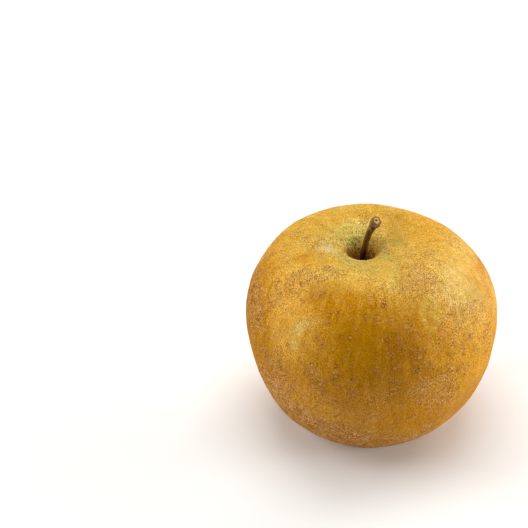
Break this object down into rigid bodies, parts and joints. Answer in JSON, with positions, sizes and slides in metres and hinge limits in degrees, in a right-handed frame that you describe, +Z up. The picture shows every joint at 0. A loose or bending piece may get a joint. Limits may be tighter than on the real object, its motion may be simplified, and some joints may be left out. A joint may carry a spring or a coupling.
{
  "type": "reinette grise apple",
  "caption": "Flattened round russet apple: a stalk in a narrow cavity, dried sepals and stamens in an open calyx basin, standing on its lobes.",
  "frame": {"origin": "on the surface that the fruit rests on, below the middle of its width and depth", "axes": "+Z up the core towards the stem, -Y towards the viewer of the picture, +X to the viewer's right"},
  "size_m": [0.08, 0.0788, 0.0754],
  "materials": {
    "russet_skin": "satin",
    "stalk_bark": "matte",
    "dried_sepal": "matte",
    "dried_stamen": "matte"
  },
  "bodies": {
    "root": {"fruit": "russet_skin", "stem": "stalk_bark", "sepal_1": "dried_sepal", "sepal_2": "dried_sepal", "sepal_3": "dried_sepal", "sepal_4": "dried_sepal", "sepal_5": "dried_sepal", "stamen_1": "dried_stamen", "stamen_2": "dried_stamen", "stamen_3": "dried_stamen", "stamen_4": "dried_stamen", "stamen_5": "dried_stamen", "stamen_6": "dried_stamen", "stamen_7": "dried_stamen", "stamen_8": "dried_stamen", "stamen_9": "dried_stamen", "stamen_10": "dried_stamen", "stamen_11": "dried_stamen", "stamen_12": "dried_stamen", "stamen_13": "dried_stamen", "stamen_14": "dried_stamen", "stamen_15": "dried_stamen", "pistil": "dried_stamen"}
  },
  "joints": []
}
